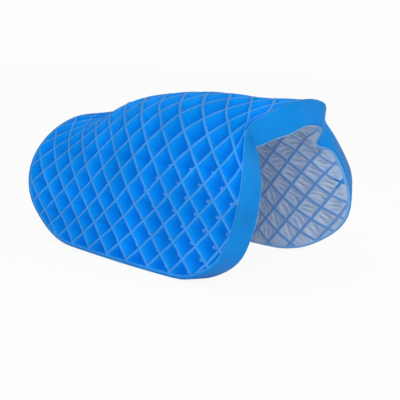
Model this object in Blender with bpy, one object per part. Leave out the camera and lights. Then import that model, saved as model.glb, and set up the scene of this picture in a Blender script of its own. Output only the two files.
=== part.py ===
"""Soft rubber curry mitt: one elastic lattice moulding with a smooth rim, and the thin liner bonded inside it.

The pad is modelled flat, as it leaves its mould, and then folded over the hand. Its flat directions are
`along`, which runs along the fold from the left end to the right, and `girth`, which runs up the front
flap, over the crown and down the back flap. Both are zero at one crossing of the ribs. `depth` is measured
outward from the liner's inner face. Lengths are in metres and angles in degrees.

The pad bends in two places, over the front shoulder and over the rear one. Each bend is divided at three
rows of rib crossings, where the soft wall flexes, so the mitt is seven strips joined by six hinges.
"""

import math

import bmesh
import bpy
import numpy as np
from mathutils import Euler, Vector
from mathutils.geometry import delaunay_2d_cdt

# The moulding, laid flat.
CELL_DIAGONAL = 0.0150
RIB_WIDTH = 0.0012
RIM_WALL = 0.0022
PAD_DEPTH = 0.0126
FRONT_REACH = 0.0553
BACK_REACH = 0.1466
LEFT_REACH = 0.0905
RIGHT_REACH = 0.0785
LEFT_CORNER = 0.0515
RIGHT_CORNER = 0.0385
CORNER_STEPS = 9
RIM_STEP = 0.0055

# The liner, and the clearances that keep touching solids apart.
LINER_THICKNESS = 0.0005
LINER_MARGIN = 0.0018
SEAT_GAP = 0.0003
FLEX_GAP = 0.0003

# The rows of rib crossings where the wall flexes, counted from the row at girth zero.
FRONT_FLEX_ROWS = (1, 3, 5)
REAR_FLEX_ROWS = (8, 10, 12)

# The fold. Each run of values is read at even stations, from the left end of the fold to the right end.
FOLD_HALF_SPAN = 0.0900
CROWN_GIRTH = 0.0412
FRONT_TURN = (126.5, 102.1, 80.1, 54.8)
REAR_TURN = (49.8, 68.0, 90.0)
CROWN_TILT = (-41.8, -9.8, 16.3)
FRONT_BEND_GIRTH = (0.0448, 0.0301, 0.0260, 0.0141)
REAR_BEND_GIRTH = (0.1197, 0.0656, 0.0752)
FRONT_BEND_HALF = (0.0781, 0.0335)
REAR_BEND_HALF = (0.0900, 0.0280)
FRONT_BOW = (-450, 313)
REAR_BOW = (2000, -921)
CROWN_SWAY = (0.0131, 0.0061, -0.0047, -0.0063)
CROWN_RISE = (0.0049, -0.0011, -0.0005, 0.0020)
ACROSS_STRETCH = 0.96
GIRTH_STRETCH = 0.91
FRONT_LEAN = (-0.02, 0.08)
REAR_LEAN = -0.04
CROWN_LEAN = 0.05

# The dip in the crown before the left end, and the drawn-in corners and pinch of the right end.
DIP_DEPTH = 0.0375
DIP_ALONG = -0.0845
DIP_HALF = 0.0450
DIP_GIRTH_HALF = 0.0400
DIP_OFF_CROWN = 0.25
RIGHT_END_REACH = 0.0152
RIGHT_END_PULL = 0.0129
RIGHT_END_DROP = 0.0032
DROP_OFF_CROWN = 0.3
RIGHT_END_SWAY = 0.0020
LEFT_END_REACH = 0.0300
LEFT_END_PULL = 0.0034
SHOULDER_SPREAD = 0.0084
SHOULDER_SPREAD_MEAN = 0.4
SHOULDER_HALF = 0.0159
REAR_CORNER_PULL = (0.0047, -0.0032, 0.0068)
REAR_CORNER_GIRTH = 0.0785
REAR_CORNER_HALF = 0.0242
CREST_DIP_DEPTH = 0.0050
CREST_DIP_ALONG = 0.0515
CREST_DIP_HALF = 0.0211
PINCH_TURN = 12
PINCH_GIRTH = 0.0615
PINCH_HALF = 0.0075
PINCH_REACH = 0.0165

# How the folded mitt settles on the floor: turned a little along and across the fold, and pressed flat.
SETTLE_PITCH = 1.15
SETTLE_ROLL = -0.85
FOOT_PRESS = 0.0012

FOLD_STEPS = 32
SLOPE_STEP = 0.0011
WELD = 0.00005

HALF_CELL = CELL_DIAGONAL / 2
LATTICE_FLOOR = LINER_THICKNESS + SEAT_GAP


def at_stations(values, along):
    """A smooth curve through values at even stations of the fold, read at each place along it."""
    stations = np.linspace(-FOLD_HALF_SPAN, FOLD_HALF_SPAN, len(values))
    total = 0.0
    for value, here in zip(values, stations):
        weight = 1.0
        for other in stations:
            if other != here:
                weight = weight * (along - other) / (here - other)
        total = total + value * weight
    return total


def eased(x):
    """Zero below -1, one above 1 and smooth between."""
    x = np.clip((x + 1) / 2, 0, 1)
    return x * x * (3 - 2 * x)


def bell(distance, half):
    return np.exp(-((distance / half) ** 2))


def inner_face(along, girth):
    """Where the folded pad's inner face lies, for places on the flat pad."""
    front_at = at_stations(FRONT_BEND_GIRTH, along)
    rear_at = at_stations(REAR_BEND_GIRTH, along)
    front_half = at_stations(FRONT_BEND_HALF, along)
    rear_half = at_stations(REAR_BEND_HALF, along)
    pinch = PINCH_TURN * bell(along - RIGHT_REACH, PINCH_REACH)

    def slope(here):
        turn = at_stations(CROWN_TILT, along)
        turn = turn + at_stations(FRONT_TURN, along) * (1 - eased((here - front_at) / front_half))
        turn = turn - at_stations(REAR_TURN, along) * eased((here - rear_at) / rear_half)
        turn = turn + at_stations(FRONT_BOW, along) * np.clip(front_at - here - front_half, 0, None)
        turn = turn - at_stations(REAR_BOW, along) * np.clip(here - rear_at - rear_half, 0, None)
        return np.radians(turn - pinch * bell(here - PINCH_GIRTH, PINCH_HALF))

    step = (girth - CROWN_GIRTH) / FOLD_STEPS
    y = 0.0
    z = 0.0
    for index in range(FOLD_STEPS):
        turn = slope(CROWN_GIRTH + (index + 0.5) * step)
        y = y + np.cos(turn) * step
        z = z + np.sin(turn) * step

    crown = eased((girth - front_at) / front_half) * (1 - eased((girth - rear_at) / rear_half))
    shoulder = bell(girth - front_at, SHOULDER_HALF)
    right_end = bell(along - RIGHT_REACH, RIGHT_END_REACH)
    left_end = bell(along + LEFT_REACH, LEFT_END_REACH)
    share = along / FOLD_HALF_SPAN
    below_front = np.clip(front_at - girth, 0, None)
    below_rear = np.clip(girth - rear_at, 0, None)
    near_crown = bell(girth - CROWN_GIRTH, DIP_GIRTH_HALF)

    x = along * ACROSS_STRETCH + CROWN_LEAN * (girth - CROWN_GIRTH)
    x = x + at_stations(FRONT_LEAN, along) * below_front + REAR_LEAN * below_rear
    x = x + shoulder * (SHOULDER_SPREAD * (share**2 - SHOULDER_SPREAD_MEAN) - RIGHT_END_PULL * right_end - LEFT_END_PULL * left_end)
    y = y * GIRTH_STRETCH + at_stations(CROWN_SWAY, along) + RIGHT_END_SWAY * right_end * shoulder
    z = z * GIRTH_STRETCH + at_stations(CROWN_RISE, along)
    z = z - RIGHT_END_DROP * right_end * (1 - (1 - DROP_OFF_CROWN) * (1 - crown))
    z = z - DIP_DEPTH * bell(along - DIP_ALONG, DIP_HALF) * (crown + DIP_OFF_CROWN * (near_crown - crown))
    z = z - CREST_DIP_DEPTH * bell(along - CREST_DIP_ALONG, CREST_DIP_HALF) * crown
    rear_corner = right_end * bell(girth - REAR_CORNER_GIRTH, REAR_CORNER_HALF)
    return np.stack([x, y, z], axis=-1) - rear_corner[..., None] * np.array(REAR_CORNER_PULL)


def folded(along, girth, depth):
    """The folded pad: its inner face, and outward from it along the face's normal."""
    across = inner_face(along + SLOPE_STEP, girth) - inner_face(along - SLOPE_STEP, girth)
    upward = inner_face(along, girth + SLOPE_STEP) - inner_face(along, girth - SLOPE_STEP)
    outward = np.cross(across, upward)
    outward = outward / np.linalg.norm(outward, axis=-1)[..., None]
    return inner_face(along, girth) + outward * depth[..., None]


def corner(centre, radius, start, steps):
    """A quarter turn of the outline, from the start angle on, without its last point."""
    turns = [math.radians(start + 90 * index / steps) for index in range(steps)]
    return [(centre[0] + radius * math.cos(turn), centre[1] + radius * math.sin(turn)) for turn in turns]


def straight(start, end):
    """Points along a straight side of the outline, close enough together for it to bend, without the last."""
    pieces = max(1, round(math.dist(start, end) / RIM_STEP))
    shares = [index / pieces for index in range(pieces)]
    return [tuple(Vector(start).lerp(Vector(end), share)) for share in shares]


def pad_outline(inset=0.0):
    """The pad's outline, drawn in by an inset: a long rounded shape with its big corners at the left end."""
    low, high = inset - FRONT_REACH, BACK_REACH - inset
    left, right = inset - LEFT_REACH, RIGHT_REACH - inset
    big, small = LEFT_CORNER - inset, RIGHT_CORNER - inset
    points = straight((left + big, low), (right - small, low))
    points += corner((right - small, low + small), small, -90, CORNER_STEPS)
    points += straight((right, low + small), (right, high - small))
    points += corner((right - small, high - small), small, 0, CORNER_STEPS)
    points += straight((right - small, high), (left + big, high))
    points += corner((left + big, high - big), big, 90, CORNER_STEPS)
    points += straight((left, high - big), (left, low + big))
    points += corner((left + big, low + big), big, 180, CORNER_STEPS)
    return points


def cell_outlines(rib_width):
    """The diamond cells over the pad, each drawn in by half a rib, with a rib crossing at the origin."""
    reach = HALF_CELL - rib_width / math.sqrt(2)
    outlines = []
    for column in range(round(-LEFT_REACH / HALF_CELL), round(RIGHT_REACH / HALF_CELL) + 1):
        for row in range(round(-FRONT_REACH / HALF_CELL), round(BACK_REACH / HALF_CELL) + 1):
            if (column + row) % 2:
                x, y = column * HALF_CELL, row * HALF_CELL
                outlines.append([(x, y - reach), (x + reach, y), (x, y + reach), (x - reach, y)])
    return outlines


def flat_plate(outlines, is_solid, low, high):
    """A flat plate between two depths, kept where a test on the outlines around a place says so."""
    points = [Vector(point) for outline in outlines for point in outline]
    counted = iter(range(len(points)))
    rings = [[next(counted) for point in outline] for outline in outlines]
    places, edges, faces, *sources = delaunay_2d_cdt(points, [], rings, 1, WELD, True)
    solid = [face for face, around in zip(faces, sources[-1]) if is_solid(around)]
    sides = {side for face in solid for side in zip(face, face[1:] + face[:1])}

    bm = bmesh.new()
    kept = sorted({index for face in solid for index in face})
    lower = {index: bm.verts.new((*places[index], low)) for index in kept}
    upper = {index: bm.verts.new((*places[index], high)) for index in kept}
    for face in solid:
        bm.faces.new([upper[index] for index in face])
        bm.faces.new([lower[index] for index in reversed(face)])
    for start, end in sorted(sides):
        if (end, start) not in sides:
            bm.faces.new((lower[start], lower[end], upper[end]))
            bm.faces.new((lower[start], upper[end], upper[start]))
    return bm


def strip_outline(low, high):
    """The stretch of the flat pad between two girths, a little short of both."""
    low = max(low, -FRONT_REACH - CELL_DIAGONAL) + FLEX_GAP / 2
    high = min(high, BACK_REACH + CELL_DIAGONAL) - FLEX_GAP / 2
    left, right = -LEFT_REACH - CELL_DIAGONAL, RIGHT_REACH + CELL_DIAGONAL
    return [(left, low), (right, low), (right, high), (left, high)]


def lattice_strip(strip):
    """One strip of the moulding: ribs around open diamond cells, inside the smooth rim wall."""
    outlines = [strip, pad_outline(), pad_outline(RIM_WALL), *cell_outlines(RIB_WIDTH)]

    def is_solid(around):
        in_cell = 2 in around and max(around) > 2
        return 0 in around and 1 in around and not in_cell

    return flat_plate(outlines, is_solid, LATTICE_FLOOR, PAD_DEPTH)


def liner_strip(strip):
    """One strip of the thin skin under the ribs, creased along them, a little smaller than the pad."""
    outlines = [strip, pad_outline(LINER_MARGIN), *cell_outlines(0)]
    return flat_plate(outlines, lambda around: 0 in around and 1 in around, 0, LINER_THICKNESS)


def cut_off(bm, place, outward):
    """Cut away what lies beyond a plane, and close the solid along the cut."""
    everything = bm.verts[:] + bm.edges[:] + bm.faces[:]
    bmesh.ops.bisect_plane(bm, geom=everything, dist=WELD, plane_co=place, plane_no=outward, clear_outer=True)
    cut_edges = [edge for edge in bm.edges if edge.is_boundary]
    bmesh.ops.triangle_fill(bm, edges=cut_edges, normal=outward, use_beauty=True)
    bmesh.ops.recalc_face_normals(bm, faces=bm.faces[:])
    bmesh.ops.triangulate(bm, faces=bm.faces[:])


def rubber_blue():
    material = bpy.data.materials.new("lattice_rubber")
    material.use_nodes = True
    finish = material.node_tree.nodes["Principled BSDF"]
    finish.inputs["Base Color"].default_value = (0.01, 0.17, 0.78, 1)
    finish.inputs["Roughness"].default_value = 0.45
    finish.inputs["Metallic"].default_value = 0
    return material


def liner_grey():
    material = bpy.data.materials.new("liner_film")
    material.use_nodes = True
    finish = material.node_tree.nodes["Principled BSDF"]
    finish.inputs["Base Color"].default_value = (0.38, 0.42, 0.52, 1)
    finish.inputs["Roughness"].default_value = 0.4
    finish.inputs["Metallic"].default_value = 0
    return material


for old in list(bpy.data.objects):
    bpy.data.objects.remove(old)
mitt = bpy.data.collections.new("curry_mitt")
bpy.context.scene.collection.children.link(mitt)

strip_names = (
    "front_flap",
    "front_shoulder_lower",
    "front_shoulder_upper",
    "crown",
    "rear_shoulder_upper",
    "rear_shoulder_lower",
    "back_flap",
)
flex_girths = [row * HALF_CELL for row in FRONT_FLEX_ROWS + REAR_FLEX_ROWS]
edges = [-math.inf, *flex_girths, math.inf]
layers = (("lattice", lattice_strip, rubber_blue()), ("liner", liner_strip, liner_grey()))

strips = {}
for layer, flat_strip, material in layers:
    for name, low, high in zip(strip_names, edges, edges[1:]):
        bm = flat_strip(strip_outline(low, high))
        flat_places = np.array([vert.co for vert in bm.verts])
        strips[f"{layer}_{name}"] = (bm, folded(*flat_places.T), material)

# Stand the mitt on its two lower rims, which its weight presses flat, with its middle over the origin.
settle = Euler((math.radians(SETTLE_PITCH), math.radians(SETTLE_ROLL), 0)).to_matrix()
corners = np.concatenate([places for bm, places, material in strips.values()]) @ np.array(settle).T
floor = corners[:, 2].min() + FOOT_PRESS
middle = (corners[:, :2].min(axis=0) + corners[:, :2].max(axis=0)) / 2
for name, (bm, places, material) in strips.items():
    for vert, place in zip(bm.verts, places @ np.array(settle).T - np.array([*middle, floor])):
        vert.co = place
    if min(vert.co.z for vert in bm.verts) < 0:
        cut_off(bm, (0, 0, 0), (0, 0, -1))
        for vert in bm.verts:
            vert.co.z = max(vert.co.z, 0)
    mesh = bpy.data.meshes.new(name)
    bm.to_mesh(mesh)
    bm.free()
    mesh.materials.append(material)
    piece = bpy.data.objects.new(name, mesh)
    mitt.objects.link(piece)
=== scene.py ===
"""Soft rubber curry mitt: the looks of its lattice moulding and of the thin liner bonded inside it."""

import math

import bmesh
import bpy
import numpy as np
from mathutils import Euler, Matrix, Vector


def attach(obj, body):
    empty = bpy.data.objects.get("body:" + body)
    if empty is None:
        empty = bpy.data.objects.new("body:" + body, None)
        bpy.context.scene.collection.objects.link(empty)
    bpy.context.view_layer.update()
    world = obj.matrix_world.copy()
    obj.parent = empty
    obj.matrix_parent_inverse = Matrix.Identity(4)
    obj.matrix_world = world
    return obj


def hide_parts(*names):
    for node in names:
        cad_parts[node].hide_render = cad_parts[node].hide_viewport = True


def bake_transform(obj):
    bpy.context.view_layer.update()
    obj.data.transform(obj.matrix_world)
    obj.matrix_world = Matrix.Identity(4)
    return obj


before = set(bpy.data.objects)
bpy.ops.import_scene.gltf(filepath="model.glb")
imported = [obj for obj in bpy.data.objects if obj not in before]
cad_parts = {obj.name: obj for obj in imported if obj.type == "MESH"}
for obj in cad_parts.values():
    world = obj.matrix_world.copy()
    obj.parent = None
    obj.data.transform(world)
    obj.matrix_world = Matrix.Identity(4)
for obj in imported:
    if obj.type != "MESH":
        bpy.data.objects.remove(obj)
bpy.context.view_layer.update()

# ---------------------------------------------------------------------------
# Lattice moulding
# One elastic rubber moulding, poured flat: ribs that cross in diamonds, inside a smooth rim wall. It is
# folded over the hand and bends in six rows, so it is made as eight lengths that meet in those rows: the
# two flaps ride on their bodies, and each length between them lies across one hinge and is tied to no body.

CELL_DIAGONAL = 0.0150
RIB_WIDTH = 0.00136
RIM_WALL = 0.0022
PAD_DEPTH = 0.0126
LATTICE_FLOOR = 0.0006
RIB_ROUND = 0.00018
RIM_ROUND = 0.0006
FOOT_ROUND = 0.0005
FRONT_REACH = 0.0553
BACK_REACH = 0.1466
LEFT_REACH = 0.0905
RIGHT_REACH = 0.0785
LEFT_CORNER = 0.0515
RIGHT_CORNER = 0.0385
HALF_CELL = CELL_DIAGONAL / 2

# The grid of diamonds: how many cells each way from its middle, and the row of crossings it is centred on.
GRID_CELLS = 13
GRID_MIDDLE_ROW = 6

# How finely the moulding is divided: straight cuts at each corner, the longest edge and the share of it from
# which an edge is divided, cuts up a wall, and steps round a softened edge.
CORNER_STEPS = 16
MOULDING_EDGE = 0.0026
DIVIDED_FROM = 0.75
WALL_CUTS = 3
ROUND_STEPS = 3

# How near counts as one place: where ribs are welded, at the outline, where a length is cut, at a depth,
# and at the rim's outer face.
WELD_NEAR = 0.0002
OUTLINE_NEAR = 0.0001
CUT_NEAR = 0.00002
DEPTH_NEAR = 0.00001
RIM_FACE_NEAR = 0.0005

# How far in the rim's own blue reaches, as a share of its wall, and over how much of the wall it fades.
RIM_BLUE_SHARE = 0.95
RIM_BLUE_FADE = 0.4

# The fold, read at even stations from the left end of the fold to the right end.
FOLD_HALF_SPAN = 0.0900
CROWN_GIRTH = 0.0412
FRONT_TURN = (126.5, 102.1, 80.1, 54.8)
REAR_TURN = (49.8, 68.0, 90.0)
CROWN_TILT = (-41.8, -9.8, 16.3)
FRONT_BEND_GIRTH = (0.0448, 0.0301, 0.0260, 0.0141)
REAR_BEND_GIRTH = (0.1197, 0.0656, 0.0752)
FRONT_BEND_HALF = (0.0781, 0.0335)
REAR_BEND_HALF = (0.0900, 0.0280)
FRONT_BOW = (-450, 313)
REAR_BOW = (2000, -921)
CROWN_SWAY = (0.0131, 0.0061, -0.0047, -0.0063)
CROWN_RISE = (0.0049, -0.0011, -0.0005, 0.0020)
ACROSS_STRETCH = 0.96
GIRTH_STRETCH = 0.91
FRONT_LEAN = (-0.02, 0.08)
REAR_LEAN = -0.04
CROWN_LEAN = 0.05
DIP_DEPTH = 0.0375
DIP_ALONG = -0.0845
DIP_HALF = 0.0450
DIP_GIRTH_HALF = 0.0400
DIP_OFF_CROWN = 0.25
RIGHT_END_REACH = 0.0152
RIGHT_END_PULL = 0.0129
RIGHT_END_DROP = 0.0032
DROP_OFF_CROWN = 0.3
RIGHT_END_SWAY = 0.0020
LEFT_END_REACH = 0.0300
LEFT_END_PULL = 0.0034
SHOULDER_SPREAD = 0.0084
SHOULDER_SPREAD_MEAN = 0.4
SHOULDER_HALF = 0.0159
REAR_CORNER_PULL = (0.0047, -0.0032, 0.0068)
REAR_CORNER_GIRTH = 0.0785
REAR_CORNER_HALF = 0.0242
CREST_DIP_DEPTH = 0.0050
CREST_DIP_ALONG = 0.0515
CREST_DIP_HALF = 0.0211
PINCH_TURN = 12
PINCH_GIRTH = 0.0615
PINCH_HALF = 0.0075
PINCH_REACH = 0.0165
FOLD_STEPS = 32
SLOPE_STEP = 0.0011

# How far the soft ribs wander off their straight lines, how much that wave bends, how strong its finer part
# is, and its four rates along the fold and round it.
RIB_SWAY = 0.00018
SWAY_BEND = 3
SWAY_FINER = 0.6
SWAY_ALONG = (290, 170, 410, 120)
SWAY_ROUND = (310, 150, 430, -90)

# How the folded mitt stands: turned a little, moved over the origin, and flat where it meets the floor.
SETTLE_PITCH = 1.15
SETTLE_ROLL = -0.85
STAND_AT = (-0.0076874, 0.0133582, -0.0731739)

# Where the soft moulding is pushed out of its even fold. Each push has its place (along, girth), how far
# it reaches along and round the fold, its share at the liner and at the rib tops, and its size along the
# fold and outward.
PUSHES = (
    (0.0785, 0.0705, 0.0105, 0.0062, 1.0, 0.15, -0.0062, -0.0026),
    (0.0785, 0.0600, 0.0110, 0.0065, 0.5, 1.0, 0.0032, 0.0014),
    (0.0785, 0.0162, 0.0090, 0.0026, 1.0, 0.0, -0.0026, 0.0012),
    (0.0785, 0.0330, 0.0120, 0.0100, 1.0, 0.0, 0.0000, -0.0016),
    (0.0700, -0.0450, 0.0120, 0.0120, 1.0, 0.8, 0.0018, 0.0000),
    (0.0680, 0.1350, 0.0150, 0.0220, 1.0, 1.0, 0.0018, 0.0000),
    (-0.0850, -0.0280, 0.0220, 0.0240, 1.0, 1.0, -0.0004, 0.0020),
    (-0.0860, 0.0330, 0.0160, 0.0150, 1.0, 1.0, 0.0000, 0.0018),
    (-0.0345, 0.0337, 0.0140, 0.0140, 1.0, 1.0, 0.0000, 0.0014),
    (-0.0100, -0.0540, 0.0450, 0.0120, 1.0, 1.0, 0.0000, 0.0012),
)


def at_stations(values, along):
    """A smooth curve through values at even stations of the fold, read at each place along it."""
    stations = np.linspace(-FOLD_HALF_SPAN, FOLD_HALF_SPAN, len(values))
    total = 0.0
    for value, here in zip(values, stations):
        weight = 1.0
        for other in stations:
            if other != here:
                weight = weight * (along - other) / (here - other)
        total = total + value * weight
    return total


def eased(x):
    """Zero below -1, one above 1 and smooth between."""
    x = np.clip((x + 1) / 2, 0, 1)
    return x * x * (3 - 2 * x)


def bell(distance, half):
    """One at no distance, and falling smoothly to almost nothing at twice the half width."""
    return np.exp(-((distance / half) ** 2))


def inner_face(along, girth):
    """Where the folded pad's inner face lies, for places on the flat pad."""
    front_at = at_stations(FRONT_BEND_GIRTH, along)
    rear_at = at_stations(REAR_BEND_GIRTH, along)
    front_half = at_stations(FRONT_BEND_HALF, along)
    rear_half = at_stations(REAR_BEND_HALF, along)
    pinch = PINCH_TURN * bell(along - RIGHT_REACH, PINCH_REACH)
    front_turn, rear_turn = at_stations(FRONT_TURN, along), at_stations(REAR_TURN, along)
    front_bow, rear_bow = at_stations(FRONT_BOW, along), at_stations(REAR_BOW, along)
    crown_tilt = at_stations(CROWN_TILT, along)

    step = (girth - CROWN_GIRTH) / FOLD_STEPS
    y = z = 0.0
    for index in range(FOLD_STEPS):
        here = CROWN_GIRTH + (index + 0.5) * step
        turn = crown_tilt + front_turn * (1 - eased((here - front_at) / front_half))
        turn = turn - rear_turn * eased((here - rear_at) / rear_half)
        turn = turn + front_bow * np.clip(front_at - here - front_half, 0, None)
        turn = turn - rear_bow * np.clip(here - rear_at - rear_half, 0, None)
        turn = np.radians(turn - pinch * bell(here - PINCH_GIRTH, PINCH_HALF))
        y = y + np.cos(turn) * step
        z = z + np.sin(turn) * step

    crown = eased((girth - front_at) / front_half) * (1 - eased((girth - rear_at) / rear_half))
    near_crown = bell(girth - CROWN_GIRTH, DIP_GIRTH_HALF)
    shoulder = bell(girth - front_at, SHOULDER_HALF)
    right_end = bell(along - RIGHT_REACH, RIGHT_END_REACH)
    left_end = bell(along + LEFT_REACH, LEFT_END_REACH)
    share = along / FOLD_HALF_SPAN
    ends_pull = RIGHT_END_PULL * right_end + LEFT_END_PULL * left_end

    x = along * ACROSS_STRETCH + CROWN_LEAN * (girth - CROWN_GIRTH)
    x = x + at_stations(FRONT_LEAN, along) * np.clip(front_at - girth, 0, None)
    x = x + REAR_LEAN * np.clip(girth - rear_at, 0, None)
    x = x + shoulder * (SHOULDER_SPREAD * (share**2 - SHOULDER_SPREAD_MEAN) - ends_pull)
    y = y * GIRTH_STRETCH + at_stations(CROWN_SWAY, along) + RIGHT_END_SWAY * right_end * shoulder
    z = z * GIRTH_STRETCH + at_stations(CROWN_RISE, along)
    z = z - RIGHT_END_DROP * right_end * (1 - (1 - DROP_OFF_CROWN) * (1 - crown))
    z = z - DIP_DEPTH * bell(along - DIP_ALONG, DIP_HALF) * (crown + DIP_OFF_CROWN * (near_crown - crown))
    z = z - CREST_DIP_DEPTH * bell(along - CREST_DIP_ALONG, CREST_DIP_HALF) * crown
    rear_corner = right_end * bell(girth - REAR_CORNER_GIRTH, REAR_CORNER_HALF)
    return np.stack([x, y, z], axis=-1) - rear_corner[..., None] * np.array(REAR_CORNER_PULL)


def sway_wave(here, there, rates):
    """An uneven wave along one direction, which wanders with the place along the other."""
    rate, bend_rate, fine, across = rates
    bend = SWAY_BEND * np.sin(there * bend_rate)
    return np.sin(here * rate + bend) + SWAY_FINER * np.sin(there * fine + here * across)


def folded(flat):
    """Flat places (along, girth, depth) on the folded mitt, standing on the floor."""
    along, girth, depth = np.asarray(flat, float).T
    across = inner_face(along + SLOPE_STEP, girth) - inner_face(along - SLOPE_STEP, girth)
    upward = inner_face(along, girth + SLOPE_STEP) - inner_face(along, girth - SLOPE_STEP)
    outward = np.cross(across, upward)
    outward = outward / np.linalg.norm(outward, axis=-1)[..., None]
    share = np.clip(depth / PAD_DEPTH, 0, 1)
    inside_rim = in_from_outline(np.stack([along, girth], axis=-1)) - RIM_WALL
    sway = RIB_SWAY * share * np.clip(inside_rim / CELL_DIAGONAL, 0, 1)
    along = along + sway * sway_wave(along, girth, SWAY_ALONG)
    girth = girth + sway * sway_wave(girth, along, SWAY_ROUND)
    off_face, off_along = depth, 0.0
    for at_along, at_girth, reach_along, reach_girth, at_liner, at_tops, push_along, push_out in PUSHES:
        push = bell(along - at_along, reach_along) * bell(girth - at_girth, reach_girth)
        push = push * (at_liner * (1 - share) + at_tops * share)
        off_along = off_along + push * push_along
        off_face = off_face + push * push_out
    places = inner_face(along, girth) + outward * off_face[..., None]
    places[..., 0] = places[..., 0] + off_along
    settle = Euler((math.radians(SETTLE_PITCH), math.radians(SETTLE_ROLL), 0)).to_matrix()
    places = places @ np.array(settle).T - np.array(STAND_AT)
    places[:, 2] = np.clip(places[:, 2], 0, None)
    return places


def outline_tangents(inset, steps):
    """Places on the pad's outline, drawn in by an inset, and the outward direction at each."""
    core = LEFT_CORNER - LEFT_REACH, RIGHT_REACH - RIGHT_CORNER
    for side, place in ((-90, (0, inset - FRONT_REACH)), (0, (RIGHT_REACH - inset, 0)),
                        (90, (0, BACK_REACH - inset)), (180, (inset - LEFT_REACH, 0))):
        turn = math.radians(side)
        yield Vector((*place, 0)), Vector((math.cos(turn), math.sin(turn), 0))
    for start, radius, x, y in ((-90, RIGHT_CORNER, core[1], RIGHT_CORNER - FRONT_REACH),
                                (0, RIGHT_CORNER, core[1], BACK_REACH - RIGHT_CORNER),
                                (90, LEFT_CORNER, core[0], BACK_REACH - LEFT_CORNER),
                                (180, LEFT_CORNER, core[0], LEFT_CORNER - FRONT_REACH)):
        for index in range(steps):
            turn = math.radians(start + 90 * (index + 0.5) / steps)
            outward = Vector((math.cos(turn), math.sin(turn), 0))
            yield Vector((x, y, 0)) + outward * (radius - inset), outward


def off_the_rim(place):
    """The direction straight out of the rim at a place near the outline."""
    radius = LEFT_CORNER if place.x < 0 else RIGHT_CORNER
    x = min(max(place.x, LEFT_CORNER - LEFT_REACH), RIGHT_REACH - RIGHT_CORNER)
    y = min(max(place.y, radius - FRONT_REACH), BACK_REACH - radius)
    return Vector((place.x - x, place.y - y, 0)).normalized()


def in_from_outline(flat):
    """How far each flat place lies inside the pad's outline."""
    radius = np.where(flat[:, 0] < 0, LEFT_CORNER, RIGHT_CORNER)
    x = flat[:, 0] - np.clip(flat[:, 0], LEFT_CORNER - LEFT_REACH, RIGHT_REACH - RIGHT_CORNER)
    y = flat[:, 1] - np.clip(flat[:, 1], radius - FRONT_REACH, BACK_REACH - radius)
    return radius - np.hypot(x, y)


def diamond_grid(bm, steps):
    """A flat grid of diamonds over the whole pad, with a rib crossing where along and girth are zero."""
    middle = Matrix.Translation((0, GRID_MIDDLE_ROW * HALF_CELL, 0))
    place = middle @ Matrix.Rotation(math.radians(45), 4, "Z")
    size = GRID_CELLS * CELL_DIAGONAL / math.sqrt(2)
    segments = 2 * GRID_CELLS * steps
    bmesh.ops.create_grid(bm, x_segments=segments, y_segments=segments, size=size, matrix=place)


def trim_to_outline(bm, inset):
    """Cut away what lies outside the pad's outline, drawn in by an inset."""
    for place, outward in outline_tangents(inset, CORNER_STEPS):
        everything = bm.verts[:] + bm.edges[:] + bm.faces[:]
        bmesh.ops.bisect_plane(bm, geom=everything, dist=OUTLINE_NEAR, plane_co=place, plane_no=outward,
                               clear_outer=True)


def shorten_edges(bm, longest):
    """Divide long edges, first in four and then twice in half, until the flat mesh can follow the fold."""
    for cuts in (3, 1, 1):
        limit = longest * (cuts + 1) * DIVIDED_FROM
        too_long = [edge for edge in bm.edges if edge.calc_length() > limit]
        bmesh.ops.subdivide_edges(bm, edges=too_long, cuts=cuts, use_grid_fill=True)


def raise_plate(bm, low, high):
    """Give the flat faces the thickness between two depths."""
    bmesh.ops.translate(bm, verts=bm.verts[:], vec=(0, 0, low))
    raised = bmesh.ops.extrude_face_region(bm, geom=bm.faces[:], use_keep_orig=True)
    tops = [item for item in raised["geom"] if isinstance(item, bmesh.types.BMVert)]
    bmesh.ops.translate(bm, verts=tops, vec=(0, 0, high - low))
    bmesh.ops.recalc_face_normals(bm, faces=bm.faces[:])


def mark_points(bm, name, values):
    """Store one number on each point of a flat mesh, for its material to read."""
    layer = bm.verts.layers.float.new(name)
    for vert, value in zip(bm.verts, values):
        vert[layer] = float(value)


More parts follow.
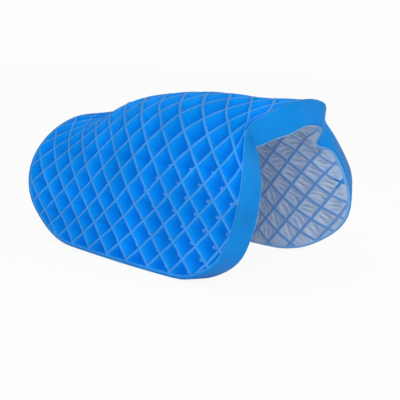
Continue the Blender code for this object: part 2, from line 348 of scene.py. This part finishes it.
def flat_moulding():
    """The moulding before it is folded: ribs, rim wall and rounded edges.

    Each cell's opening is inset to leave the ribs, marked, and taken out once the rim wall is on.
    """
    bm = bmesh.new()
    diamond_grid(bm, 1)
    cells = bm.faces[:]
    bmesh.ops.inset_individual(bm, faces=cells, thickness=RIB_WIDTH / 2, use_even_offset=True)
    for cell in cells:
        cell.material_index = 1
    trim_to_outline(bm, RIM_WALL)
    wall = bmesh.ops.extrude_edge_only(bm, edges=[edge for edge in bm.edges if edge.is_boundary])
    for item in wall["geom"]:
        if isinstance(item, bmesh.types.BMVert):
            item.co += off_the_rim(item.co) * RIM_WALL
        elif isinstance(item, bmesh.types.BMFace):
            item.material_index = 0
    bmesh.ops.delete(bm, geom=[face for face in bm.faces if face.material_index == 1], context="FACES")
    bmesh.ops.remove_doubles(bm, verts=bm.verts[:], dist=WELD_NEAR)
    shorten_edges(bm, MOULDING_EDGE)
    raise_plate(bm, LATTICE_FLOOR, PAD_DEPTH)

    upright = [edge for edge in bm.edges if abs(edge.verts[0].co.z - edge.verts[1].co.z) > PAD_DEPTH / 2]
    bmesh.ops.subdivide_edges(bm, edges=upright, cuts=WALL_CUTS, use_grid_fill=True)

    tangents = list(outline_tangents(0, CORNER_STEPS))

    def rounds(edge, depth):
        """Whether an edge turns from a flat face at this depth to a wall."""
        flat_faces = sum(abs(face.normal.z) > 0.9 for face in edge.link_faces)
        return flat_faces == 1 and all(abs(vert.co.z - depth) < DEPTH_NEAR for vert in edge.verts)

    def on_rim(edge):
        """Whether an edge runs along the rim's outer face."""
        middle = (edge.verts[0].co + edge.verts[1].co) / 2
        furthest_out = max((middle - place).dot(outward) for place, outward in tangents)
        return -RIM_FACE_NEAR < furthest_out < OUTLINE_NEAR

    top_edges = [edge for edge in bm.edges if rounds(edge, PAD_DEPTH)]
    rim_edges = [edge for edge in top_edges if on_rim(edge)]
    foot_edges = [edge for edge in bm.edges if rounds(edge, LATTICE_FLOOR) and on_rim(edge)]
    rib_edges = [edge for edge in top_edges if edge not in set(rim_edges)]
    for edges, radius in ((rib_edges, RIB_ROUND), (rim_edges, RIM_ROUND), (foot_edges, FOOT_ROUND)):
        edges = [edge for edge in edges if edge.is_valid]
        bmesh.ops.bevel(bm, geom=edges, offset=radius, offset_type="OFFSET", affect="EDGES",
                        segments=ROUND_STEPS, profile=0.5, material=-1, clamp_overlap=False)
    flat = np.array([vert.co for vert in bm.verts])
    mark_points(bm, "height", flat[:, 2] / PAD_DEPTH)
    rim = (RIM_WALL * RIM_BLUE_SHARE - in_from_outline(flat)) / (RIM_WALL * RIM_BLUE_FADE)
    mark_points(bm, "rim", np.clip(rim, 0, 1))
    return bm


# The rubber's colours. The walls are painted a little paler higher up and the rib tops paler still, as
# painted light and shade for where the light falls. The walls also glow with painted light that stands in
# for light coming through the thin rubber, but the tops do not.
WALL_BLUE = (0.002, 0.225, 0.58, 1)
UPPER_WALL_LIT_BLUE = (0.003, 0.240, 0.60, 1)
RIB_TOP_HIGHLIGHT_BLUE = (0.042, 0.295, 0.80, 1)
RIM_BLUE = (0.0, 0.202, 0.605, 1)
FILM_GLINT_WHITE = (0.60, 0.84, 0.95, 1)
WALL_GLOW = (0.0, 0.076, 0.260, 1)
NO_GLOW = (0, 0, 0, 1)

# How far up a wall, as a share of its depth, it keeps its blue below the painted highlight of the rib tops,
# and its painted glow, and where the glow has gone.
WALL_BLUE_TO = 0.96
GLOW_TO = 0.93
GLOW_GONE = 0.99

# Where the pale spots fade out and where they are full: off the crossings, up the walls, and from cell to
# cell. They are the pale film's colour brightened by painted glints of light through it.
GLINT_OFF_CROSSING = (0.22, 0.17)
GLINT_UP_WALL = (0.23, 0.18)
GLINT_IN_CELLS = (0.36, 0.44)
GLINT_CELL_SCALE = 2.3

# The faint clouds in the rubber: the part of the noise that they use, and how dark and pale they turn it.
CLOUD_SCALE = 48
CLOUD_NOISE = (0.3, 0.7)
CLOUD_TONES = (0.86, 1.10)

GRAIN_HEIGHT = 0.0001

# Where each length of the mitt starts and ends, in half cells of girth, the bodies that it joins, and the
# direction and the two distances between which it bends.
LENGTHS = (
    ("front_flap", None, 0, ("front_flap",), None, None),
    ("front_edge_bend", 0, 2, ("front_flap", "front_shoulder_lower"),
     (0.078, 0.741, 0.667), (0.0049, 0.0119)),
    ("front_middle_bend", 2, 4, ("front_shoulder_lower", "front_shoulder_upper"),
     (0.086, 0.880, 0.468), (0.0009, 0.0095)),
    ("front_top_bend", 4, 6.5, ("front_shoulder_upper", "crown"),
     (0.098, 0.944, 0.314), (0.0021, 0.0148)),
    ("rear_top_bend", 6.5, 9, ("crown", "rear_shoulder_upper"),
     (0.145, 0.985, -0.093), (-0.0075, 0.0030)),
    ("rear_middle_bend", 9, 11, ("rear_shoulder_upper", "rear_shoulder_lower"),
     (0.154, 0.824, -0.545), (-0.0188, -0.0140)),
    ("rear_edge_bend", 11, 13, ("rear_shoulder_lower", "back_flap"),
     (0.127, 0.692, -0.711), (-0.0182, -0.0135)),
    ("back_flap", 13, None, ("back_flap",), None, None),
)


def cut_length(whole, low, high):
    """One length of a flat mesh between two girths, closed where it is cut."""
    bm = whole.copy()
    for row, outward in ((low, -1), (high, 1)):
        if row is None:
            continue
        everything = bm.verts[:] + bm.edges[:] + bm.faces[:]
        bmesh.ops.bisect_plane(bm, geom=everything, dist=CUT_NEAR, plane_co=(0, row * HALF_CELL, 0),
                               plane_no=(0, outward, 0), clear_outer=True)
        open_edges = [edge for edge in bm.edges if edge.is_boundary]
        capped = bmesh.ops.holes_fill(bm, edges=open_edges, sides=0)
        for edge in open_edges:
            edge.smooth = False
        bmesh.ops.triangulate(bm, faces=capped["faces"])
    return bm


def finish_length(bm, name, material, bodies, nodes):
    """Fold one length of the mitt, give it its surface, tie it to its body if it has only one, and hide the
    parts it stands in for.
    """
    flat = np.array([vert.co for vert in bm.verts])
    laid_flat = bm.loops.layers.uv.new("laid_flat")
    for face in bm.faces:
        face.smooth = True
        face.material_index = 0
        for loop in face.loops:
            loop[laid_flat].uv = loop.vert.co.x / CELL_DIAGONAL, loop.vert.co.y / CELL_DIAGONAL
    for vert, place in zip(bm.verts, folded(flat)):
        vert.co = place
    mesh = bpy.data.meshes.new(name)
    bm.to_mesh(mesh)
    bm.free()
    mesh.materials.append(material)
    piece = bpy.data.objects.new(name, mesh)
    bpy.context.scene.collection.objects.link(piece)
    if len(bodies) == 1:
        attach(piece, bodies[0])
    else:
        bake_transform(piece)
    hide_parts(*nodes)
    return piece


def feed(tree, node, inputs):
    """Give each input of a node its value, or link the output that feeds it."""
    for name, value in inputs.items():
        if isinstance(value, bpy.types.NodeSocket):
            tree.links.new(value, node.inputs[name])
        else:
            node.inputs[name].default_value = value


def arithmetic(tree, operation, *numbers):
    """The result of one operation on numbers or outputs."""
    node = tree.nodes.new("ShaderNodeMath")
    node.operation = operation
    feed(tree, node, dict(enumerate(numbers)))
    return node.outputs["Value"]


def share_between(tree, value, low, high, at_low=0, at_high=1, smoothly=False):
    """A share that goes from one number, where a value is low, to another, where it is high."""
    node = tree.nodes.new("ShaderNodeMapRange")
    if smoothly:
        node.interpolation_type = "SMOOTHSTEP"
    feed(tree, node, {"Value": value, "From Min": low, "From Max": high,
                      "To Min": at_low, "To Max": at_high})
    return node.outputs["Result"]


def colour_mix(tree, factor, one, other):
    """The first colour where the factor is 0, and the other where it is 1."""
    node = tree.nodes.new("ShaderNodeMix")
    node.data_type = "RGBA"
    feed(tree, node, {"Factor": factor, "A": one, "B": other})
    return node.outputs["Result"]


def colour_ramp(tree, value, stops):
    """Colours that follow a value from stop to stop."""
    node = tree.nodes.new("ShaderNodeValToRGB")
    feed(tree, node, {"Fac": value})
    for element, stop in zip(node.color_ramp.elements, (stops[0], stops[-1])):
        element.position, element.color = stop
    for position, colour in stops[1:-1]:
        node.color_ramp.elements.new(position).color = colour
    return node.outputs["Color"]


def noise(tree, place, scale, detail=2):
    """Soft noise over the surface."""
    node = tree.nodes.new("ShaderNodeTexNoise")
    feed(tree, node, {"Vector": place, "Scale": scale, "Detail": detail})
    return node.outputs["Fac"]


def point_mark(tree, name):
    """What mark_points stored under a name."""
    node = tree.nodes.new("ShaderNodeAttribute")
    node.attribute_name = name
    return node.outputs["Fac"]


def place_laid_flat(tree):
    """The place on the flat pad, in cells."""
    node = tree.nodes.new("ShaderNodeUVMap")
    node.uv_map = "laid_flat"
    return node.outputs["UV"]


def effect_group(name, inputs, outputs):
    """A node group for an effect that both the rubber and the liner use, with its inner ends."""
    group = bpy.data.node_groups.new(name, "ShaderNodeTree")
    for in_out, sockets in (("INPUT", inputs), ("OUTPUT", outputs)):
        for socket, kind in sockets.items():
            group.interface.new_socket(name=socket, in_out=in_out, socket_type=f"NodeSocket{kind}")
    return group, group.nodes.new("NodeGroupInput").outputs, group.nodes.new("NodeGroupOutput")


def effect(tree, group, inputs):
    """What a shared effect gives for this material's own values."""
    node = tree.nodes.new("ShaderNodeGroup")
    node.node_tree = group
    feed(tree, node, inputs)
    return node.outputs


def rib_distance_group():
    """How far a place laid flat is from the middle of the nearest rib, and of the rib that crosses it."""
    group, taken, given = effect_group(
        "rib_distance", {"Laid flat": "Vector"}, {"Nearest rib": "Float", "Crossing rib": "Float"})
    parts = group.nodes.new("ShaderNodeSeparateXYZ")
    feed(group, parts, {"Vector": taken["Laid flat"]})
    off_ribs = []
    for operation in ("ADD", "SUBTRACT"):
        count = arithmetic(group, operation, parts.outputs["X"], parts.outputs["Y"])
        off_ribs.append(arithmetic(group, "PINGPONG", count, 0.5))
    feed(group, given, {"Nearest rib": arithmetic(group, "MINIMUM", *off_ribs),
                        "Crossing rib": arithmetic(group, "MAXIMUM", *off_ribs)})
    return group


def fine_grain_group():
    """A fine grain, given as the surface's normal at a scale and strength that each material chooses."""
    group, taken, given = effect_group(
        "fine_grain", {"Place": "Vector", "Scale": "Float", "Strength": "Float"}, {"Normal": "Vector"})
    bump = group.nodes.new("ShaderNodeBump")
    feed(group, bump, {"Height": noise(group, taken["Place"], taken["Scale"]),
                       "Strength": taken["Strength"], "Distance": GRAIN_HEIGHT})
    feed(group, given, {"Normal": bump.outputs["Normal"]})
    return group


def lattice_rubber(rib_distance, fine_grain):
    """Soft blue rubber with painted light and shade: paler up the walls and on the rib tops, glowing
    walls, and pale spots with painted glints in the bottom corners of some cells.
    """
    material = bpy.data.materials.new("blue_rubber")
    material.use_nodes = True
    tree = material.node_tree
    height, rim = point_mark(tree, "height"), point_mark(tree, "rim")
    laid_flat = place_laid_flat(tree)
    place = tree.nodes.new("ShaderNodeTexCoord").outputs["Object"]
    ribs = effect(tree, rib_distance, {"Laid flat": laid_flat})
    grain = effect(tree, fine_grain, {"Place": place, "Scale": 1500, "Strength": 0.08})

    # Painted light and shade: the walls darker low down, paler higher up, and palest on the rib tops.
    walls = colour_ramp(tree, height, ((0, WALL_BLUE), (WALL_BLUE_TO, UPPER_WALL_LIT_BLUE), (1, RIB_TOP_HIGHLIGHT_BLUE)))
    # Painted glints: pale spots low in the corners of some cells, the film's pale colour brightened with
    # painted light.
    in_corner = share_between(tree, ribs["Crossing rib"], *GLINT_OFF_CROSSING)
    at_bottom = share_between(tree, height, *GLINT_UP_WALL)
    in_some_cells = share_between(tree, noise(tree, laid_flat, GLINT_CELL_SCALE), *GLINT_IN_CELLS)
    film_glint = arithmetic(tree, "MULTIPLY", arithmetic(tree, "MULTIPLY", in_corner, at_bottom), in_some_cells)
    colour = colour_mix(tree, rim, colour_mix(tree, film_glint, walls, FILM_GLINT_WHITE), RIM_BLUE)

    clouds = share_between(tree, noise(tree, place, CLOUD_SCALE, detail=3), *CLOUD_NOISE, *CLOUD_TONES)
    clouded = tree.nodes.new("ShaderNodeVectorMath")
    clouded.operation = "SCALE"
    feed(tree, clouded, {0: colour, "Scale": clouds})

    # Painted glow: the walls give off light of their own below the tops, standing in for light through the
    # rubber.
    glow = colour_ramp(tree, height, ((GLOW_TO, WALL_GLOW), (GLOW_GONE, NO_GLOW)))
    feed(tree, tree.nodes["Principled BSDF"], {
        "Base Color": clouded.outputs["Vector"],
        "Roughness": 0.42,
        "Specular IOR Level": 0.12,
        "Emission Color": colour_mix(tree, rim, glow, NO_GLOW),
        "Emission Strength": 1,
        "Normal": grain["Normal"],
    })
    return material


moulding = flat_moulding()
rib_distance = rib_distance_group()
fine_grain = fine_grain_group()
rubber = lattice_rubber(rib_distance, fine_grain)
for name, low, high, bodies, direction, reach in LENGTHS:
    bm = cut_length(moulding, low, high)
    piece = finish_length(bm, f"lattice_{name}_skin", rubber, bodies,
                          [f"lattice_{body}" for body in bodies])
    weighted = piece.modifiers.new("even_shading", "WEIGHTED_NORMAL")
    weighted.keep_sharp = True
moulding.free()

# ---------------------------------------------------------------------------
# Liner
# A thin grey film of cloth, bonded to the inner side of the ribs and closed at its edge by a fine bead.
# It is slack between the ribs, where it wrinkles, and the ribs show through it.

LINER_THICKNESS = 0.0003
LINER_MARGIN = 0.0010

# How many faces the liner has across each cell, in the directions of the ribs.
LINER_STEPS = 22

# The slack over each cell: the share of a cell that stays bonded at each rib, the depth, and how evenly it
# rises from the ribs.
BONDED_SHARE = 0.07
PUCKER_DEPTH = 0.0008
PUCKER_RISE = 0.6

# The fine folds in that slack. They run towards one centre, each cell's a little turned, spread, bent and
# faded in its own way, with finer folds between them. Each cell's two chances choose how.
WRINKLE_HEIGHT = 0.00030
WRINKLE_LENGTH = 0.0034
WRINKLE_CENTRE = (0.020, 0.088)
WRINKLE_TURN = 0.35
WRINKLE_SPREAD = 90
WRINKLE_BEND = 16
WAVER_HEIGHT = 0.0005
WAVER_RATE = 500
FADE_SHARE = 0.25
FADE_RATE = 700
LEAST_LENGTH = 0.85
LENGTH_CHANCE = 0.4
FINER_LENGTH = 0.62
FINER_HEIGHT = 0.4
ONE_CHANCE = (12.9898, 78.233, 43758.5453)
OTHER_CHANCE = (39.346, 11.135, 23421.631)

# The bonded edge: how far out each of its rings lies, as a share of the bead's width, and half its height
# there. The slack ends where the bead starts.
BEAD_WIDTH = 0.0004
BEAD_PROFILE = ((0.35, 0.00020), (0.75, 0.00020), (1.0, 0.00008))
BEAD_STARTS = 0.1
BEAD_FADE = 0.0002

# The one crossing of ribs that the liner leaves bare, in cells along and round the fold, how far it reaches,
# and over how much of that it fades.
BARE_AT = (5.0, 7.0, 0)
BARE_REACH = 0.32
BARE_FADE = 0.05

# How far off a rib's middle, in cells, its blue starts to fade and has gone, and how wide the rim's fade is.
RIB_THROUGH = (0.064, 0.092)
RIM_THROUGH_FADE = 0.0003

# How much painted shade a fold's height puts on the grey, and how fine the cloth's mottle is.
FOLD_PAINTED_SHADE = -0.50
MOTTLE_SCALE = 220

# The cloth's colours, with a painted shade for its folds, and the painted glow that stands in for the light
# coming through it on the side of the hand and on the outer side.
LINER_SHADE = (0.18, 0.30, 0.52, 1)
LINER_GREY = (0.505, 0.558, 0.645, 1)
RIB_THROUGH_BLUE = (0.082, 0.235, 0.56, 1)
BARE_RIB_BLUE = (0.0, 0.16, 0.50, 1)
RIM_THROUGH_BLUE = (0.11, 0.33, 0.64, 1)
BEAD_BLUE = (0.105, 0.30, 0.56, 1)
INNER_GLOW = (0.03, 0.065, 0.11, 1)
OUTER_GLOW = (0.10, 0.34, 0.55, 1)


def cell_chance(one, other, seeds):
    """An even chance from 0 to 1 for each cell, always the same for the same cell and seeds."""
    value = np.sin(np.floor(one) * seeds[0] + np.floor(other) * seeds[1]) * seeds[2]
    return value - np.floor(value)


def puckered(flat):
    """How far the liner stands off its flat place, and how high a fold it has there."""
    along, girth = flat[:, 0], flat[:, 1]
    one, other = (along + girth) / CELL_DIAGONAL, (along - girth) / CELL_DIAGONAL
    share_one = np.clip((one % 1 - BONDED_SHARE) / (1 - 2 * BONDED_SHARE), 0, 1)
    share_other = np.clip((other % 1 - BONDED_SHARE) / (1 - 2 * BONDED_SHARE), 0, 1)
    slack = (16 * share_one * (1 - share_one) * share_other * (1 - share_other)) ** PUCKER_RISE
    slack = slack * eased(2 * (in_from_outline(flat) - RIM_WALL) / HALF_CELL - 1)
    middle_along = (np.floor(one) + np.floor(other) + 1) * HALF_CELL
    middle_girth = (np.floor(one) - np.floor(other)) * HALF_CELL
    chance = cell_chance(one, other, ONE_CHANCE)
    other_chance = cell_chance(one, other, OTHER_CHANCE)
    off_along = middle_along - WRINKLE_CENTRE[0]
    off_girth = np.clip(middle_girth - WRINKLE_CENTRE[1], 0, None)
    turn = np.arctan2(off_girth, off_along) + WRINKLE_TURN * (chance - 0.5)
    run = (along - middle_along) * np.cos(turn) + (girth - middle_girth) * np.sin(turn)
    side = (girth - middle_girth) * np.cos(turn) - (along - middle_along) * np.sin(turn)
    side = side * (1 + WRINKLE_SPREAD * (other_chance - 0.5) * run)
    bend = WAVER_HEIGHT * np.sin(run * WAVER_RATE + 6 * chance) + WRINKLE_BEND * (chance - 0.5) * run**2
    length = WRINKLE_LENGTH * (LEAST_LENGTH + LENGTH_CHANCE * chance)
    wave = np.sin((side + bend) * 2 * np.pi / length + 20 * chance)
    finer = np.sin((side - 0.6 * bend + 0.1 * run) * 2 * np.pi / (FINER_LENGTH * length) + 9 * chance)
    fading = 1 - FADE_SHARE + FADE_SHARE * np.sin(run * FADE_RATE + 15 * chance)
    fold = slack * fading * (wave + FINER_HEIGHT * finer)
    return slack * PUCKER_DEPTH + fold * WRINKLE_HEIGHT, fold


def flat_liner():
    """The liner laid flat: finely divided along the rib directions, with its bonded edge as a thin bead."""
    bm = bmesh.new()
    diamond_grid(bm, LINER_STEPS)
    inside = in_from_outline(np.array([face.calc_center_median() for face in bm.faces])) > LINER_MARGIN
    outside = [face for face, kept in zip(bm.faces, inside) if not kept]
    bmesh.ops.delete(bm, geom=outside, context="FACES")
    for vert in bm.verts:
        if vert.is_boundary:
            inset = in_from_outline(np.array([vert.co]))[0]
            vert.co += off_the_rim(vert.co) * (inset - LINER_MARGIN)
    edges = [edge for edge in bm.edges if edge.is_boundary]
    reached = 0
    for share, _ in BEAD_PROFILE:
        ring = bmesh.ops.extrude_edge_only(bm, edges=edges)["geom"]
        edges = [item for item in ring if isinstance(item, bmesh.types.BMEdge) and item.is_boundary]
        for item in ring:
            if isinstance(item, bmesh.types.BMVert):
                item.co += off_the_rim(item.co) * BEAD_WIDTH * (share - reached)
        reached = share
    bmesh.ops.recalc_face_normals(bm, faces=bm.faces[:])
    raise_plate(bm, 0, LINER_THICKNESS)
    flat = np.array([vert.co for vert in bm.verts])
    lifts, folds = puckered(flat)
    inset = in_from_outline(flat)
    mark_points(bm, "fold", folds)
    mark_points(bm, "outside", flat[:, 2] > LINER_THICKNESS / 2)
    mark_points(bm, "rim", np.clip((RIM_WALL - inset) / RIM_THROUGH_FADE, 0, 1))
    mark_points(bm, "bead", np.clip((LINER_MARGIN - inset) / BEAD_FADE, 0, 1))
    over = (LINER_MARGIN - inset) / BEAD_WIDTH
    for vert, lift, share in zip(bm.verts, lifts, over):
        if share < BEAD_STARTS:
            vert.co.z += lift
        else:
            half_height = min(BEAD_PROFILE, key=lambda ring: abs(ring[0] - share))[1]
            vert.co.z = LINER_THICKNESS / 2 + math.copysign(half_height, vert.co.z - LINER_THICKNESS / 2)
    return bm


def liner_cloth(rib_distance, fine_grain):
    """Smooth grey cloth with a satin sheen. The ribs that it is bonded to show through as blue lines."""
    material = bpy.data.materials.new("grey_liner")
    material.use_nodes = True
    tree = material.node_tree
    laid_flat = place_laid_flat(tree)
    place = tree.nodes.new("ShaderNodeTexCoord").outputs["Object"]
    ribs = effect(tree, rib_distance, {"Laid flat": laid_flat})
    grain = effect(tree, fine_grain, {"Place": place, "Scale": 2600, "Strength": 0.1})

    mottle = noise(tree, place, MOTTLE_SCALE, detail=4)
    # Painted shade: the grey is darker where a fold rises towards the ribs and paler where it sinks towards
    # the hand, with the cloth's own mottle mixed in.
    fold_shade_and_mottle = arithmetic(tree, "MULTIPLY_ADD", point_mark(tree, "fold"), FOLD_PAINTED_SHADE, mottle)
    grey = colour_mix(tree, fold_shade_and_mottle, LINER_SHADE, LINER_GREY)

    off_bare = tree.nodes.new("ShaderNodeVectorMath")
    off_bare.operation = "DISTANCE"
    feed(tree, off_bare, {0: laid_flat, 1: BARE_AT})
    is_bare = share_between(tree, off_bare.outputs["Value"], BARE_REACH, BARE_REACH - BARE_FADE)
    rib_blue = colour_mix(tree, is_bare, RIB_THROUGH_BLUE, BARE_RIB_BLUE)
    off_ribs = share_between(tree, ribs["Nearest rib"], *RIB_THROUGH, smoothly=True)
    colour = colour_mix(tree, off_ribs, rib_blue, grey)
    colour = colour_mix(tree, point_mark(tree, "rim"), colour, RIM_THROUGH_BLUE)
    colour = colour_mix(tree, point_mark(tree, "bead"), colour, BEAD_BLUE)

    feed(tree, tree.nodes["Principled BSDF"], {
        "Base Color": colour,
        "Roughness": 0.38,
        "Sheen Weight": 0.2,
        # Painted glow: the cloth gives off faint light of its own, standing in for light through the film,
        # more on its outer side.
        "Emission Color": colour_mix(tree, point_mark(tree, "outside"), INNER_GLOW, OUTER_GLOW),
        "Emission Strength": 0.3,
        "Normal": grain["Normal"],
    })
    return material


liner = flat_liner()
cloth = liner_cloth(rib_distance, fine_grain)
for name, low, high, bodies, direction, reach in LENGTHS:
    bm = cut_length(liner, low, high)
    drawn_in = ACROSS_STRETCH * GIRTH_STRETCH
    area = drawn_in * sum(face.calc_area() for face in bm.faces) / 2
    piece = finish_length(bm, f"liner_{name}_skin", cloth, bodies,
                          [f"liner_{body}" for body in bodies])
liner.free()

# ---------------------------------------------------------------------------
# Floor, light and camera
# A plain pale floor in a white studio, under a soft lamp from the right front and a faint one above,
# with the camera a little above the mitt's right front.

FLOOR_HALF = 3
FLOOR_WHITE = (0.96, 0.96, 0.955, 1)
FLOOR_SEEN_WHITE = (1, 1, 0.995, 1)
FLOOR_SEEN_SHARE = 0.92
STUDIO_WHITE = (1, 1, 1, 1)
STUDIO_LIGHT = 0.60
STUDIO_SEEN = 0.98

floor_mesh = bpy.data.meshes.new("floor")
bm = bmesh.new()
bmesh.ops.create_grid(bm, x_segments=1, y_segments=1, size=FLOOR_HALF)
bm.to_mesh(floor_mesh)
bm.free()
floor = bpy.data.objects.new("floor", floor_mesh)
bpy.context.scene.collection.objects.link(floor)
paint = bpy.data.materials.new("pale_floor")
paint.use_nodes = True
tree = paint.node_tree
matt = tree.nodes["Principled BSDF"]
feed(tree, matt, {"Base Color": FLOOR_WHITE, "Roughness": 0.9})
white = tree.nodes.new("ShaderNodeEmission")
feed(tree, white, {"Color": FLOOR_SEEN_WHITE})
path = tree.nodes.new("ShaderNodeLightPath")
either = tree.nodes.new("ShaderNodeMixShader")
seen_share = arithmetic(tree, "MULTIPLY", path.outputs["Is Camera Ray"], FLOOR_SEEN_SHARE)
feed(tree, either, {"Fac": seen_share, 1: matt.outputs["BSDF"], 2: white.outputs["Emission"]})
feed(tree, tree.nodes["Material Output"], {"Surface": either.outputs["Shader"]})
floor_mesh.materials.append(paint)

world = bpy.data.worlds.new("studio")
world.use_nodes = True
bpy.context.scene.world = world
tree = world.node_tree
air = tree.nodes["Background"]
feed(tree, air, {"Color": STUDIO_WHITE, "Strength": STUDIO_LIGHT})
seen = tree.nodes.new("ShaderNodeBackground")
feed(tree, seen, {"Color": STUDIO_WHITE, "Strength": STUDIO_SEEN})
path = tree.nodes.new("ShaderNodeLightPath")
either = tree.nodes.new("ShaderNodeMixShader")
feed(tree, either, {"Fac": path.outputs["Is Camera Ray"], 1: air.outputs["Background"],
                    2: seen.outputs["Background"]})
feed(tree, tree.nodes["World Output"], {"Surface": either.outputs["Shader"]})

LIGHTS_AIM_AT = (0, 0, 0.04)
for name, place, size, power in (
    ("front_light", (0.80, -0.66, 0.42), 0.9, 7.6),
    ("top_light", (-0.3, -0.1, 0.95), 0.9, 0.1),
):
    lamp = bpy.data.lights.new(name, "AREA")
    lamp.size = size
    lamp.energy = power
    light = bpy.data.objects.new(name, lamp)
    light.location = place
    light.rotation_euler = (Vector(LIGHTS_AIM_AT) - Vector(place)).to_track_quat("-Z", "Y").to_euler()
    bpy.context.scene.collection.objects.link(light)

CAMERA_AT = (0.324191, -0.399702, 0.106814)
CAMERA_AZIMUTH, CAMERA_ELEVATION, CAMERA_ROLL = 38.747, 8.180, -1.785
azimuth, elevation, roll = (math.radians(turn) for turn in (CAMERA_AZIMUTH, CAMERA_ELEVATION, CAMERA_ROLL))
level = Vector((-math.sin(azimuth), math.cos(azimuth), 0))
sight = level * math.cos(elevation) - Vector((0, 0, math.sin(elevation)))
right = Vector((math.cos(azimuth), math.sin(azimuth), 0))
up = right.cross(sight)
image_right = math.cos(roll) * right - math.sin(roll) * up
image_up = math.sin(roll) * right + math.cos(roll) * up
lens = bpy.data.cameras.new("camera")
lens.lens = 86.4
lens.sensor_width = 36
lens.shift_x = 0.01125
lens.shift_y = -0.03625
camera = bpy.data.objects.new("camera", lens)
facing = Matrix((image_right, image_up, -sight)).transposed().to_4x4()
camera.matrix_world = Matrix.Translation(CAMERA_AT) @ facing
bpy.context.scene.collection.objects.link(camera)
bpy.context.scene.camera = camera
bpy.context.scene.view_settings.view_transform = "Standard"
